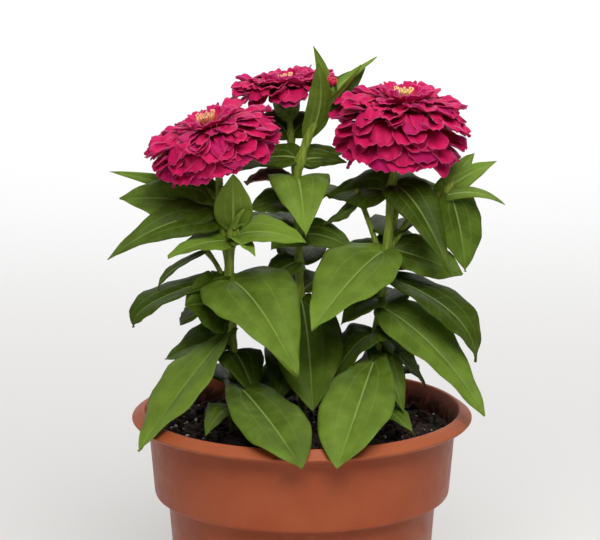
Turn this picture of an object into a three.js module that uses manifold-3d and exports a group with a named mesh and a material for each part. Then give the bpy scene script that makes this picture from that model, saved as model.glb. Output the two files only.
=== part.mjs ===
// A potted zinnia: three leafy plants with double blooms and an opening bud, in a flared nursery pot.
// Millimetres, +Z up. The origin is the centre of the pot's underside, and -Y is the front.
import Module from "manifold-3d";
import * as THREE from "three";
import { mergeVertices } from "three/addons/utils/BufferGeometryUtils.js";

const wasm = await Module();
wasm.setup();

// Driving dimensions
const GAP = 0.3;
const RIM_RADIUS = 95;
const POT_HEIGHT = 150;
const POT_WALL = 1.8;
const POT_FLOOR = 5;
const LEDGE_HEIGHT = 102;
const SOIL_HEIGHT = 137;
const ROUND_SIDES = 32;
const STEM_FOOT_HEIGHT = 112;
const STEM_SIDES = 6;
const LEAF_THICKNESS = 0.8;
const BROAD_LEAF = 30;
const LEAF_BELLY = 0.3;
const LEAF_BEND = 0.4;
const PETAL_THICKNESS = 0.6;
const GOLDEN_ANGLE = THREE.MathUtils.degToRad(137.508);

const UP = new THREE.Vector3(0, 0, 1);
const root = new THREE.Group();

// Colours and finishes
function finish(color, roughness) {
  return new THREE.MeshStandardMaterial({ color, roughness, metalness: 0 });
}
const potFinish = finish(0x9b5a41, 0.55);
const soilFinish = finish(0x241b16, 0.98);
const leafFinish = finish(0x56802f, 0.6);
const petalFinish = finish(0xcc1f5c, 0.65);
const discFinish = finish(0xe8a63c, 0.75);
const budFinish = finish(0xb01c40, 0.65);
const witheredFinish = finish(0x4a2a20, 0.85);

// Solids: a closed geometry becomes a solid that can be joined or cut, and back
function solidOf(geometry) {
  const bare = geometry.clone();
  bare.deleteAttribute("normal");
  bare.deleteAttribute("uv");
  const merged = mergeVertices(bare, 1e-4);
  return new wasm.Manifold(new wasm.Mesh({
    numProp: 3,
    vertProperties: new Float32Array(merged.attributes.position.array),
    triVerts: new Uint32Array(merged.index.array),
  }));
}

function geometryOf(solid) {
  const mesh = solid.getMesh();
  const geometry = new THREE.BufferGeometry();
  geometry.setAttribute("position", new THREE.BufferAttribute(mesh.vertProperties, 3));
  geometry.setIndex(new THREE.BufferAttribute(mesh.triVerts, 1));
  geometry.computeVertexNormals();
  return geometry;
}

// Pieces joined into one body. Crossing blades can close in a small void, which is filled.
function fuse(geometries) {
  const whole = geometries.map(solidOf).reduce((sum, piece) => sum.add(piece));
  const [body, ...others] = whole.decompose().sort((a, b) => b.volume() - a.volume());
  if (others.some((shell) => shell.volume() > 0)) {
    throw new Error("a piece has no root in its body");
  }
  return body;
}

function addNode(name, geometry, material) {
  const mesh = new THREE.Mesh(geometry, material);
  mesh.name = name;
  root.add(mesh);
  return mesh;
}

// A profile of [radius, height] pairs turned about the Z axis
function turned(profile, sides) {
  const points = profile.map(([radius, height]) => new THREE.Vector2(radius, height));
  return new THREE.LatheGeometry(points, sides).rotateX(Math.PI / 2);
}

function vector(values) {
  return new THREE.Vector3(...values);
}

// A repeatable scatter between -1 and 1 for item number i and stream k
function scatter(i, k) {
  const wave = Math.sin((i + 1) * 12.9898 + k * 78.233) * 43758.5453;
  return 2 * (wave - Math.floor(wave)) - 1;
}

// Two rows of point numbers, of any lengths, joined by one strip of triangles
function strip(lower, upper) {
  const triangles = [];
  let i = 0;
  let j = 0;
  while (i < lower.length - 1 || j < upper.length - 1) {
    const lowerStep = (i + 1) / (lower.length - 1);
    const upperStep = (j + 1) / (upper.length - 1);
    if (j === upper.length - 1 || (i < lower.length - 1 && lowerStep <= upperStep)) {
      triangles.push([lower[i], lower[i + 1], upper[j]]);
      i += 1;
    } else {
      triangles.push([lower[i], upper[j + 1], upper[j]]);
      j += 1;
    }
  }
  return triangles;
}

// A thin blade: rows of points from root to tip, each with its normal, thickened downwards.
// Both faces are split alike, and walls close it all the way round.
function blade(rows, thickness) {
  const top = [];
  const bottom = [];
  const numbers = [];
  for (const { points, normal } of rows) {
    numbers.push(points.map((point, k) => top.length / 3 + k));
    for (const point of points) {
      top.push(point.x, point.y, point.z);
      const under = point.clone().addScaledVector(normal, -thickness);
      bottom.push(under.x, under.y, under.z);
    }
  }
  const count = top.length / 3;
  const faces = numbers.slice(1).flatMap((row, k) => strip(numbers[k], row));
  const index = faces.flat();
  for (const [a, b, c] of faces) {
    index.push(c + count, b + count, a + count);
  }
  const rightSide = numbers.slice(1).map((row) => row.at(-1));
  const tipRow = numbers.at(-1).slice(0, -1).reverse();
  const leftSide = numbers.slice(0, -1).reverse().map((row) => row[0]);
  const loop = [...numbers[0], ...rightSide, ...tipRow, ...leftSide.slice(0, -1)];
  loop.forEach((a, k) => {
    const b = loop[(k + 1) % loop.length];
    index.push(b, a, a + count, b, a + count, b + count);
  });
  const geometry = new THREE.BufferGeometry();
  geometry.setAttribute("position", new THREE.Float32BufferAttribute([...top, ...bottom], 3));
  geometry.setIndex(index);
  return geometry;
}

// Pot: flared lower wall, a ledge, an upright band and a wide rolled rim, with drain holes below
function makePot() {
  const profile = [
    [0, 0], [34, 0], [36, 3], [56, 3], [58, 0], [66, 0], [67.2, 1.5],
    [75, LEDGE_HEIGHT - 1], [81.9, LEDGE_HEIGHT], [82.4, LEDGE_HEIGHT + 2],
    [85.3, 139], [85.8, 142.4], [93.4, 143.6], [RIM_RADIUS, 145.4],
    [88.5, POT_HEIGHT], [87.3, 149.3], [85.3 - POT_WALL, 140],
    [82.4 - POT_WALL, LEDGE_HEIGHT + 2], [75 - POT_WALL, LEDGE_HEIGHT + 1],
    [67.4 - POT_WALL, POT_FLOOR], [0, POT_FLOOR],
  ];
  let pot = solidOf(turned(profile, ROUND_SIDES));
  const holes = 6;
  const holeRadius = 4;
  const holeCircle = 46;
  for (let k = 0; k < holes; k += 1) {
    const angle = ((k + 0.5) * 2 * Math.PI) / holes;
    const hole = new THREE.CylinderGeometry(holeRadius, holeRadius, 2 * POT_FLOOR, 8);
    hole.rotateX(Math.PI / 2);
    hole.translate(holeCircle * Math.cos(angle), holeCircle * Math.sin(angle), POT_FLOOR / 2);
    pot = pot.subtract(solidOf(hole));
  }
  addNode("pot", geometryOf(pot), potFinish);
}

// Stems: smooth curves through these points, with the stem's radius
const STEMS = {
  left_main: [2.3, [[-38, -8, 112], [-38, -8, 140], [-38, -10, 175], [-40, -10, 229], [-44, -10, 262],
    [-45.5, -10.5, 290]]],
  left_shoot: [2.1, [[-39, -10, 216], [-39, -12, 236], [-37, -14, 254]]],
  left_side: [1.4, [[-41, -9, 220], [-47, -6, 232], [-55, -2, 242]]],
  middle_main: [2.3, [[0, 26, 112], [0, 26, 140], [-1, 24, 200], [-2, 17, 244], [-3, 12, 276],
    [4, 9, 302], [13.5, 8, 324]]],
  middle_back: [1.9, [[-2, 18, 240], [-4, 28, 276], [-6, 33, 294], [-7, 35, 310.5]]],
  right_main: [2.4, [[40, -8, 112], [40, -8, 140], [41, -5, 179], [43, -5, 209], [47, -5, 244],
    [48.5, -4, 270], [51.3, -1.7, 289]]],
  right_second: [1.7, [[47, -5, 236], [50, -1, 250], [53, 3, 266], [57, 8, 278]]],
  right_left: [1.6, [[45, -4, 228], [39, 1, 248], [30, 6, 272]]],
  right_far: [1.6, [[48, -4, 240], [62, 0, 260], [77, 2, 270], [84, 3, 277]]],
};

function stemCurve(name) {
  return new THREE.CatmullRomCurve3(STEMS[name][1].map(vector), false, "catmullrom", 0.5);
}

function stemTube(name) {
  const [radius] = STEMS[name];
  const corners = Array.from({ length: STEM_SIDES }, (unused, k) => {
    const angle = (k * 2 * Math.PI) / STEM_SIDES;
    return new THREE.Vector2(radius * Math.cos(angle), radius * Math.sin(angle));
  });
  return new THREE.ExtrudeGeometry(new THREE.Shape(corners), {
    steps: 2 * (STEMS[name][1].length - 1),
    bevelEnabled: false,
    extrudePath: stemCurve(name),
  });
}

// The point of a stem's centre line at a height
function pointOnStem(name, height) {
  const points = stemCurve(name).getPoints(120);
  const above = points.findIndex((point) => point.z >= height);
  const a = points[above - 1];
  const b = points[above];
  return a.clone().lerp(b, (height - a.z) / (b.z - a.z));
}

// Leaves: stem, height on it, tip, how far the midrib arches up, width, roll in degrees, and where
// needed how far along the leaf is broadest, how far along the midrib bends, and its sideways sway
const LEFT_LEAVES = [
  ["left_main", 225, [-2, -62, 183], 15, 52, -12],
  ["left_main", 227, [-92, -22, 200], 16, 26, 12, 0.42, 1.05],
  ["left_main", 208, [-63, -30, 214], 4, 36, 60, 0.45],
  ["left_main", 197, [-88, -54, 139], 6, 38, -5, 0.58],
  ["left_main", 188, [-76, 0, 177], 8, 30, 30, 0.5],
  ["left_main", 168, [0, -101, 143], 17, 37, -6, 0.52, 0.75, 8],
  ["left_main", 152, [-52, -50, 147], 8, 20, 0],
  ["left_main", 257, [-105, -28, 239], 17, 25, 40],
  ["left_main", 264, [-100, -2, 268], 5, 34, 50, 0.36],
  ["left_main", 268, [-107, 22, 279], 4, 10, 60],
  ["left_main", 252, [-84, 26, 298], -14, 18, 40],
  ["left_shoot", 246, [-72, -36, 242], 6, 20, 20],
  ["left_side", 239, [-79, -12, 219], 9, 10, 5, 0.3, 0.95],
  ["left_shoot", 252, [-37, -28, 286], 0, 21, 0, 0.4],
  ["left_shoot", 249, [2, -40, 251], 8, 25, -30],
  ["left_shoot", 248, [-25, -38, 243], 6, 12, 0],
  ["left_shoot", 252, [-31, -22, 266], 2, 7, 0],
  ["left_main", 200, [-70, 48, 186], 16, 32, 0],
  ["left_main", 242, [-68, 58, 236], 14, 28, 0],
  ["left_main", 166, [-56, 66, 153], 16, 28, 0],
  ["left_main", 218, [-32, 60, 208], 14, 28, 0],
  ["left_main", 184, [-25, -30, 160], 10, 28, 0],
];
const MIDDLE_LEAVES = [
  ["middle_main", 277, [2, -28, 252], 16, 34, 0],
  ["middle_main", 288, [-44, 30, 276], 9, 18, 40],
  ["middle_main", 285, [23, 28, 288], 6, 16, -45],
  ["middle_main", 287, [25, 22, 284], 4, 13, -50],
  ["middle_back", 296, [-27, 45, 306], 9, 26, 20],
  ["middle_main", 264, [-30, 6, 260], 4, 22, 35],
  ["middle_main", 246, [-17, 0, 239], 4, 20, 40],
  ["middle_main", 229, [-21, 4, 221], 2, 20, 25],
  ["middle_main", 244, [29, 3, 238], 7, 22, -35],
  ["middle_main", 208, [6, -42, 158], 12, 38, -8, 0.56, 0.4, -2],
  ["middle_main", 188, [-14, -34, 158], 10, 32, 0],
  ["middle_main", 180, [-20, 82, 176], 18, 34, 0],
  ["middle_main", 210, [38, 80, 198], 18, 34, 0],
  ["middle_main", 242, [-30, 78, 242], 16, 30, 0],
  ["middle_main", 262, [24, 66, 262], 8, 26, 0],
  ["middle_main", 160, [-37, 31, 146], 8, 27, 50],
  ["middle_main", 226, [4, 86, 222], 16, 28, 0],
  ["middle_main", 299, [8.5, -8, 344], 0, 15, 0, 0.4, 0.4, -9],
  ["middle_main", 318, [6, 12, 350.5], 8, 8, 60, 0.4, 0.1, 9],
  ["middle_main", 307, [35, 19, 337], 6, 14, -66, 0.5],
  ["middle_main", 320, [41, 14, 344], 3, 7, -40],
  ["middle_main", 314, [32, 2, 341], -6, 9, 30],
  ["middle_back", 297, [14, 46, 305], 9, 24, -20],
];
const RIGHT_LEAVES = [
  ["right_main", 241, [5, -55, 206], 9, 44, 10, 0.42],
  ["right_main", 241, [88, -10, 227], 3, 28, -38, 0.5],
  ["right_main", 226, [95, -24, 181], 30, 30, -15, 0.4, 1],
  ["right_main", 209, [99, -40, 155], 17, 33, -20, 0.3, 0.6],
  ["right_main", 182, [18, -101, 143], 18, 39, 0, 0.6, 0.6, -6],
  ["right_main", 186, [56, -30, 153], 6, 20, 0],
  ["right_main", 152, [60, -50, 148], 6, 18, 0],
  ["right_main", 192, [70, 12, 158], 8, 22, -40],
  ["right_main", 198, [62, -18, 182], 8, 16, -20],
  ["right_main", 214, [21, -28, 203], 6, 20, 20],
  ["right_main", 276, [80, -38, 233], 18, 26, -20],
  ["right_far", 273, [90, -2, 227], 18, 28, -35, 0.4, 0.8],
  ["right_far", 266, [111, -5, 265], 12, 7, -60, 0.3, 0.6],
  ["right_far", 268, [107, 8, 287], 4, 14, -55],
  ["right_far", 273, [96, 24, 289], 3, 12, -40],
  ["right_main", 272, [14, 20, 265], 6, 28, 45],
  ["right_second", 272, [84, 38, 266], 2, 24, -30],
  ["right_left", 266, [12, 16, 250], -2, 15, 35],
  ["right_main", 228, [20, 48, 232], 6, 24, 40],
  ["right_main", 232, [72, 48, 234], 12, 26, -45],
  ["right_main", 209, [60, 66, 196], 16, 34, 0],
  ["right_main", 180, [84, 42, 162], 16, 32, 0],
  ["right_main", 164, [68, 60, 154], 14, 28, 0],
  ["right_main", 248, [60, 62, 240], 14, 26, 0],
  ["right_main", 194, [10, -24, 161], 14, 36, 0],
];

// Half width of a leaf at u along the midrib, 1 at its broadest, which is at belly: the outline
// of a leaf that is broadest at LEAF_BELLY, slid along
function leafOutline(u, belly) {
  const swell = 0.43;
  const place = Math.pow(u, Math.log(LEAF_BELLY) / Math.log(belly));
  return (Math.pow((place + 0.01) / LEAF_BELLY, swell) * (1 - place)) / (1 - LEAF_BELLY);
}

// A leaf blade: an arched midrib, gull-wing halves and a gentle wave along the edges
function leafGeometry([stem, height, tipValues, arch, width, rollDegrees, ...rest]) {
  const [belly = LEAF_BELLY, bend = LEAF_BEND, sway = 0] = rest;
  const base = pointOnStem(stem, height);
  const tip = vector(tipValues);
  const chord = tip.clone().sub(base);
  const level = new THREE.Vector3(chord.y, -chord.x, 0).normalize();
  const knee = base.clone().addScaledVector(chord, bend).addScaledVector(UP, arch);
  knee.addScaledVector(level, sway);
  const midrib = new THREE.QuadraticBezierCurve3(base, knee, tip);
  const roll = THREE.MathUtils.degToRad(rollDegrees);
  const broad = width >= BROAD_LEAF;
  const stations = broad ? [0, 0.14, 0.37, 0.62, 0.85, 1] : [0, 0.15, 0.42, 0.74, 1];
  const across = broad ? [-1, -0.5, 0, 0.5, 1] : [-1, 0, 1];
  const phase = tip.x + 2 * tip.z;
  const rows = stations.map((u) => {
    const centre = midrib.getPoint(u);
    const along = midrib.getTangent(u);
    const upright = level.clone().cross(along).normalize();
    const side = level.clone().multiplyScalar(Math.cos(roll)).addScaledVector(upright, Math.sin(roll));
    const normal = side.clone().cross(along).normalize();
    const half = 0.5 * width * leafOutline(u, belly);
    const places = u === 1 ? [0] : u === 0 ? [-1, 1] : across;
    const points = places.map((v) => {
      const wing = half * (0.42 * Math.abs(v) - 0.3 * v * v);
      const wave = 0.04 * width * v * v * Math.sin(9 * u + 2 * v + phase) * Math.min(1, 4 * u);
      return centre.clone().addScaledVector(side, half * v).addScaledVector(normal, wing + wave);
    });
    return { points, normal };
  });
  return blade(rows, LEAF_THICKNESS);
}

// Blooms: the middle of the disc, the way the bloom faces, the number of petals, and how the petals
// run from the disc outwards: rise in degrees, length, width and the height of their roots
const BLOOMS = {
  left: {
    disc: [-50.8, -15, 312], facing: [-0.27, -0.12, 0.95], petals: 38,
    rise: [3, -24], length: [9, 28.5], width: [9, 19], depth: 15, coreSwell: 6.5,
  },
  right: {
    disc: [54.8, -4.8, 324], facing: [0.08, -0.08, 0.99], petals: 40,
    rise: [13, -29], length: [9, 29.5], width: [9, 19], depth: 25, coreSwell: 7.5,
  },
  back: {
    disc: [-10, 36, 326.5], facing: [-0.12, 0.02, 0.99], petals: 24,
    rise: [22, -6], length: [10, 25.2], width: [9, 17], depth: 8, coreSwell: 3,
  },
};
const CORE_RADIUS = 6.8;
const CORE_FOOT = 1.7;
const PETAL_ROOT_DEPTH = 3.5;
const CUP_RADIUS = 7.6;
const CUP_HEIGHT = 12;
const DISC_RADIUS = 4;

function mix([first, last], t) {
  return first + (last - first) * t;
}

// A bloom's own frame: Z is the way it faces and the origin is the middle of its disc
function bloomMatrix(bloom) {
  const turn = new THREE.Quaternion().setFromUnitVectors(UP, vector(bloom.facing).normalize());
  return new THREE.Matrix4().compose(vector(bloom.disc), turn, new THREE.Vector3(1, 1, 1));
}

// One petal: rooted in the core, arched, broadest towards its notched tip, hollow along the middle
function petalGeometry(bloom, i) {
  const t = i / (bloom.petals - 1);
  const angle = i * GOLDEN_ANGLE + 0.12 * scatter(i, 1);
  const rise = THREE.MathUtils.degToRad(mix(bloom.rise, Math.pow(t, 1.8)) + 7 * scatter(i, 2));
  const length = mix(bloom.length, 1 - Math.pow(1 - t, 3.5)) * (1 + 0.06 * scatter(i, 3));
  const width = mix(bloom.width, Math.pow(t, 0.5));
  const outward = new THREE.Vector3(Math.cos(angle), Math.sin(angle), 0);
  const side = new THREE.Vector3(outward.y, -outward.x, 0);
  const base = outward.clone().multiplyScalar(coreRadius(bloom, t) - PETAL_ROOT_DEPTH);
  base.addScaledVector(UP, coreHeight(bloom, t));
  const tip = base.clone().addScaledVector(outward, length * Math.cos(rise));
  tip.addScaledVector(UP, length * Math.sin(rise));
  const knee = base.clone().lerp(tip, 0.5);
  knee.addScaledVector(outward, -0.15 * length * Math.sin(rise));
  knee.addScaledVector(UP, 0.15 * length * Math.cos(rise) + 0.08 * length);
  const line = new THREE.QuadraticBezierCurve3(base, knee, tip);
  const row = (u, halfWidth, hollow, places, notch) => {
    const normal = side.clone().cross(line.getTangent(u)).normalize();
    const points = places.map((v) => {
      const point = line.getPoint(v === 0 ? u - notch : u).addScaledVector(side, halfWidth * v);
      return point.addScaledVector(normal, -hollow * (1 - Math.abs(v)));
    });
    return { points, normal };
  };
  return blade([
    row(0, 0.18 * width, 0, [-1, 1], 0),
    row(0.7, 0.5 * width, 0.07 * width, [-1, 0, 1], 0),
    row(0.97, 0.38 * width, 0.05 * width, [-1, 0, 1], -0.03),
  ], PETAL_THICKNESS);
}

// The core is a dome: the height and the radius at which petal number t of the way down stands
function coreHeight(bloom, t) {
  return -2 - (bloom.depth - 4) * Math.pow(t, 1.6);
}

function coreRadius(bloom, t) {
  return CORE_RADIUS + bloom.coreSwell * Math.sin(Math.PI * Math.min(1, 0.08 + 0.8 * t));
}

function makeBloom(name, bloom) {
  const bottom = -bloom.depth - CORE_FOOT;
  const rings = [1, 0.65, 0.3].map((t) => [coreRadius(bloom, t), coreHeight(bloom, t)]);
  const foot = [[0, bottom], [coreRadius(bloom, 1) - 1, bottom]];
  const core = turned([...foot, ...rings, [CORE_RADIUS - 1.4, -1], [0, -1]], 7);
  const petals = Array.from({ length: bloom.petals }, (unused, i) => petalGeometry(bloom, i));
  const place = bloomMatrix(bloom);
  const head = addNode(`${name}_bloom_petals`, geometryOf(fuse([core, ...petals])), petalFinish);
  head.applyMatrix4(place);
  const disc = addNode(`${name}_bloom_disc`, geometryOf(fuse(discPieces())), discFinish);
  disc.applyMatrix4(place);
}

// The disc: a low dome with small florets standing out of it
function discPieces() {
  const dome = turned([
    [0, -1 + GAP], [DISC_RADIUS - 0.6, -1 + GAP], [DISC_RADIUS - 0.4, 0.6], [2.4, 2], [0, 2.6],
  ], 7);
  const florets = 7;
  const pieces = [dome];
  for (let i = 0; i < florets; i += 1) {
    const reach = 0.66 * DISC_RADIUS * Math.sqrt((i + 0.5) / florets);
    const floret = new THREE.ConeGeometry(1.1, 3.4, 4).rotateX(Math.PI / 2);
    floret.translate(0, 0, 3.4 - 0.22 * reach * reach);
    floret.rotateY(0.06 * reach);
    floret.translate(reach, 0, 0);
    pieces.push(floret.rotateZ(i * GOLDEN_ANGLE));
  }
  return pieces;
}

// The green cup of bracts under a bloom, narrowing into the stem, in the plant's own frame
function cupGeometry(bloom) {
  const top = -bloom.depth - CORE_FOOT - GAP;
  const cup = turned([
    [0, top - CUP_HEIGHT], [2, top - CUP_HEIGHT], [6.5, top - 0.6 * CUP_HEIGHT],
    [CUP_RADIUS, top - 0.2 * CUP_HEIGHT], [CUP_RADIUS - 0.6, top], [0, top],
  ], 8);
  return cup.applyMatrix4(bloomMatrix(bloom));
}

// The bud: a green cup on the middle plant, and crimson petal tips just showing above it
const BUD = { foot: [14.7, 8, 323], facing: [0.15, -0.05, 0.98], radius: 4.2, height: 6 };

function budMatrix() {
  const turn = new THREE.Quaternion().setFromUnitVectors(UP, vector(BUD.facing).normalize());
  return new THREE.Matrix4().compose(vector(BUD.foot), turn, new THREE.Vector3(1, 1, 1));
}

function budCupGeometry() {
  const cup = turned([
    [0, -3], [1.8, -3], [BUD.radius, 1.5], [BUD.radius - 0.3, 0.6 * BUD.height],
    [2.6, BUD.height - GAP], [0, BUD.height - GAP],
  ], 8);
  return cup.applyMatrix4(budMatrix());
}

function makeBudPetals() {
  const heart = turned([
    [0, BUD.height], [2.4, BUD.height], [2.6, BUD.height + 2], [0, BUD.height + 4.5],
  ], 6);
  const tips = 6;
  const pieces = [heart];
  for (let k = 0; k < tips; k += 1) {
    const lobe = new THREE.ConeGeometry(1.4, 4.6, 3).rotateX(Math.PI / 2).scale(0.7, 1, 1);
    lobe.translate(2.1, 0, BUD.height + 2.7 + 0.5 * scatter(k, 4));
    pieces.push(lobe.rotateZ((k * 2 * Math.PI) / tips));
  }
  addNode("bud_petals", geometryOf(fuse(pieces)), budFinish).applyMatrix4(budMatrix());
}

// A plant: stems, leaves and green cups grown as one piece
function makePlant(name, stems, leaves, cups) {
  const pieces = [...stems.map(stemTube), ...leaves.map(leafGeometry), ...cups];
  addNode(name, geometryOf(fuse(pieces)), leafFinish);
}

// A withered leaf hanging beside the middle stem
function makeWitheredLeaf() {
  const base = new THREE.Vector3(-5.5, 14, 276);
  const tip = new THREE.Vector3(-31, 19, 272);
  const midrib = new THREE.QuadraticBezierCurve3(base, new THREE.Vector3(-19, 18, 280), tip);
  const side = new THREE.Vector3(0.1, 0.8, 0.6).normalize();
  const rows = [0, 0.35, 0.7, 1].map((u) => {
    const half = 0.8 + 4.2 * Math.sin(Math.PI * Math.pow(u, 0.8));
    const normal = side.clone().cross(midrib.getTangent(u)).normalize();
    const places = u === 1 ? [0] : [-1, 0, 1];
    const points = places.map((v) => midrib.getPoint(u).addScaledVector(side, half * v)
      .addScaledVector(normal, 2 * v * v));
    return { points, normal };
  });
  addNode("withered_leaf", blade(rows, LEAF_THICKNESS), witheredFinish);
}

// Soil: fills the pot to just under the rim, lumpy on top, with a plain hole for each plant's foot
function makeSoil() {
  const wall = POT_WALL + GAP;
  const profile = [
    [0, POT_FLOOR + GAP], [67.4 - wall, POT_FLOOR + GAP], [75 - wall, LEDGE_HEIGHT + 1 + GAP],
    [82.4 - wall, LEDGE_HEIGHT + 2 + GAP], [85 - wall, SOIL_HEIGHT - 2.5], [81, SOIL_HEIGHT],
    [68, SOIL_HEIGHT], [50, SOIL_HEIGHT], [28, SOIL_HEIGHT], [0, SOIL_HEIGHT],
  ];
  const ground = turned(profile, ROUND_SIDES);
  const position = ground.attributes.position;
  for (let k = 0; k < position.count; k += 1) {
    const x = position.getX(k);
    const y = position.getY(k);
    const reach = Math.hypot(x, y);
    if (position.getZ(k) > SOIL_HEIGHT - 1 && reach < 80) {
      const lumps = 1.3 * Math.sin(0.21 * x + 1) * Math.cos(0.17 * y) + 0.8 * Math.sin(0.43 * (x + y));
      position.setZ(k, position.getZ(k) + lumps);
    }
  }
  let soil = solidOf(ground);
  for (const name of ["left_main", "middle_main", "right_main"]) {
    const [radius, [foot]] = STEMS[name];
    const depth = SOIL_HEIGHT + 6 - STEM_FOOT_HEIGHT;
    const hole = new THREE.CylinderGeometry(radius + 2 * GAP, radius + 2 * GAP, depth, 12);
    hole.rotateX(Math.PI / 2);
    hole.translate(foot[0], foot[1], STEM_FOOT_HEIGHT - GAP + depth / 2);
    soil = soil.subtract(solidOf(hole));
  }
  addNode("soil", geometryOf(soil), soilFinish);
}

makePot();
makeSoil();
makePlant("left_plant", ["left_main", "left_shoot", "left_side"], LEFT_LEAVES, [cupGeometry(BLOOMS.left)]);
makePlant("middle_plant", ["middle_main", "middle_back"], MIDDLE_LEAVES,
  [cupGeometry(BLOOMS.back), budCupGeometry()]);
makePlant("right_plant", ["right_main", "right_second", "right_left", "right_far"], RIGHT_LEAVES,
  [cupGeometry(BLOOMS.right)]);
for (const [name, bloom] of Object.entries(BLOOMS)) {
  makeBloom(name, bloom);
}
makeBudPetals();
makeWitheredLeaf();

export default root;
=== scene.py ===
# The fine look of a potted zinnia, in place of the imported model's solids.
# Lengths are in millimetres until a mesh is made. The frame is the model's own: the origin is under
# the middle of the pot, -Y is towards the front and +Z is up.
import math
import bmesh
import bpy
import numpy as np
from mathutils import Matrix, Vector, noise


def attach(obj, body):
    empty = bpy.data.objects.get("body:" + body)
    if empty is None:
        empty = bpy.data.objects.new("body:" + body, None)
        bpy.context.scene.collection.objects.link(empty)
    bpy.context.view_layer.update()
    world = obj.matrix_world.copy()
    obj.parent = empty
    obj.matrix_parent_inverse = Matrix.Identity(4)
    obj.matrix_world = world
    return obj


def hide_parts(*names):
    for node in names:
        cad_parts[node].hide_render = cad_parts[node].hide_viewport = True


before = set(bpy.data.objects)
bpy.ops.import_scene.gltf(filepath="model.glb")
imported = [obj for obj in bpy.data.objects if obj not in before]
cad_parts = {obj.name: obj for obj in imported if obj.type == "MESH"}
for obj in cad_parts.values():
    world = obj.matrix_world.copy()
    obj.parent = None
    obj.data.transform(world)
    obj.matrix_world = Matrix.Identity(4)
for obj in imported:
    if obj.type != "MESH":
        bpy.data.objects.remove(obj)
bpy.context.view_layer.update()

SCENE = bpy.context.scene
MM = 0.001
UP = np.array([0.0, 0.0, 1.0])
GOLDEN_ANGLE = math.radians(137.508)

# The driving dimensions
RIM_RADIUS = 95
POT_HEIGHT = 150
POT_WALL = 1.8
POT_FLOOR = 5
FLOOR_RADIUS = 67.4
LEDGE_HEIGHT = 102
LEDGE_RADIUS = 75
BAND_RADIUS = 82.4
BAND_TOP_RADIUS = 85.3
SOIL_HEIGHT = 137
SOIL_RADIUS = 82
BROAD_LEAF = 30
LEAF_BELLY = 0.3
LEAF_BEND = 0.4
CORE_RADIUS = 6.8
CORE_TOP = -1
CORE_FOOT = 1.7
DISC_RADIUS = 3.7
PETAL_ROOT_DEPTH = 3.5
CUP_RADIUS = 7.6
CUP_HEIGHT = 12
GAP = 0.3

# The distance from the edge for a part that has no thin edge
NO_EDGE = 5.0

# How finely the pieces are made
ROUND_SIDES = 144
STEM_SIDES = 18
BROAD_GRID = (36, 25)
NARROW_GRID = (24, 15)
PETAL_GRID = (13, 11)


def vector(*values):
    return np.array(values, float)


def unit(values):
    return values / np.linalg.norm(values, axis=-1, keepdims=True)


def scatter(i, k):
    """A repeatable scatter between -1 and 1 for item number i and stream k."""
    wave = math.sin((i + 1) * 12.9898 + k * 78.233) * 43758.5453
    return 2 * (wave - math.floor(wave)) - 1


def mix(ends, t):
    return ends[0] + (ends[1] - ends[0]) * t


def smooth(x):
    """0 below 0, 1 above 1 and an even turn between."""
    x = np.clip(x, 0, 1)
    return x * x * (3 - 2 * x)


# Meshes
def add_object(name, data):
    thing = bpy.data.objects.new(name, data)
    SCENE.collection.objects.link(thing)
    return thing


class Shape:
    """Points, faces and named values of one piece, gathered part by part."""

    def __init__(self, *names):
        self.points = []
        self.faces = []
        self.values = {name: [] for name in names}
        self.count = 0

    def add(self, points, faces, **values):
        points = np.asarray(points, float).reshape(-1, 3)
        self.points.append(points)
        self.faces.extend((np.asarray(face) + self.count).tolist() for face in faces)
        for name, parts in self.values.items():
            parts.append(np.broadcast_to(values.get(name, 0.0), points.shape[:1]))
        self.count += len(points)

    def add_sheet(self, upper, lower, place=None, two_toned=False, **values):
        """A thin closed sheet between two grids of points; two_toned marks the lower as under."""
        rows, columns = upper.shape[:2]
        points = np.concatenate([upper.reshape(-1, 3), lower.reshape(-1, 3)])
        spread = {name: np.tile(np.broadcast_to(value, (rows, columns)).ravel(), 2)
                  for name, value in values.items()}
        if two_toned:
            spread["under"] = np.repeat([0.0, 1.0], rows * columns)
        self.add(put(points, place) if place else points, sheet_faces(rows, columns), **spread)

    def add_turned(self, profile, sides, place, **values):
        points, faces = turned(profile, sides)
        self.add(put(points, place), faces, **values)

    def mesh(self, name, weld, smooth_faces=True):
        """A mesh in metres with normals outwards; weld joins its doubled points."""
        mesh = bpy.data.meshes.new(name)
        mesh.from_pydata(np.concatenate(self.points) * MM, [], self.faces)
        for key, parts in self.values.items():
            layer = mesh.attributes.new(key, "FLOAT", "POINT")
            layer.data.foreach_set("value", np.concatenate(parts).astype(np.float32))
        tidy = bmesh.new()
        tidy.from_mesh(mesh)
        if weld:
            bmesh.ops.remove_doubles(tidy, verts=tidy.verts, dist=1e-6)
        bmesh.ops.recalc_face_normals(tidy, faces=tidy.faces)
        for face in tidy.faces:
            face.smooth = smooth_faces
        tidy.to_mesh(mesh)
        tidy.free()
        return mesh

    def make(self, name, material, slot, *nodes, weld=False):
        """Puts the piece in the scene, riding on the part in place of its nodes."""
        mesh = self.mesh(name, weld)
        mesh.materials.append(material)
        piece = add_object(name, mesh)
        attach(piece, "root")
        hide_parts(*nodes)
        return piece


def grid_faces(rows, columns, closed=False):
    """Quads between neighbouring rows of points; closed joins each row's end to its start."""
    grid = np.arange(rows * columns).reshape(rows, columns)
    if closed:
        grid = np.concatenate([grid, grid[:, :1]], 1)
    corners = [grid[:-1, :-1], grid[:-1, 1:], grid[1:, 1:], grid[1:, :-1]]
    return np.stack(corners, -1).reshape(-1, 4)


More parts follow.
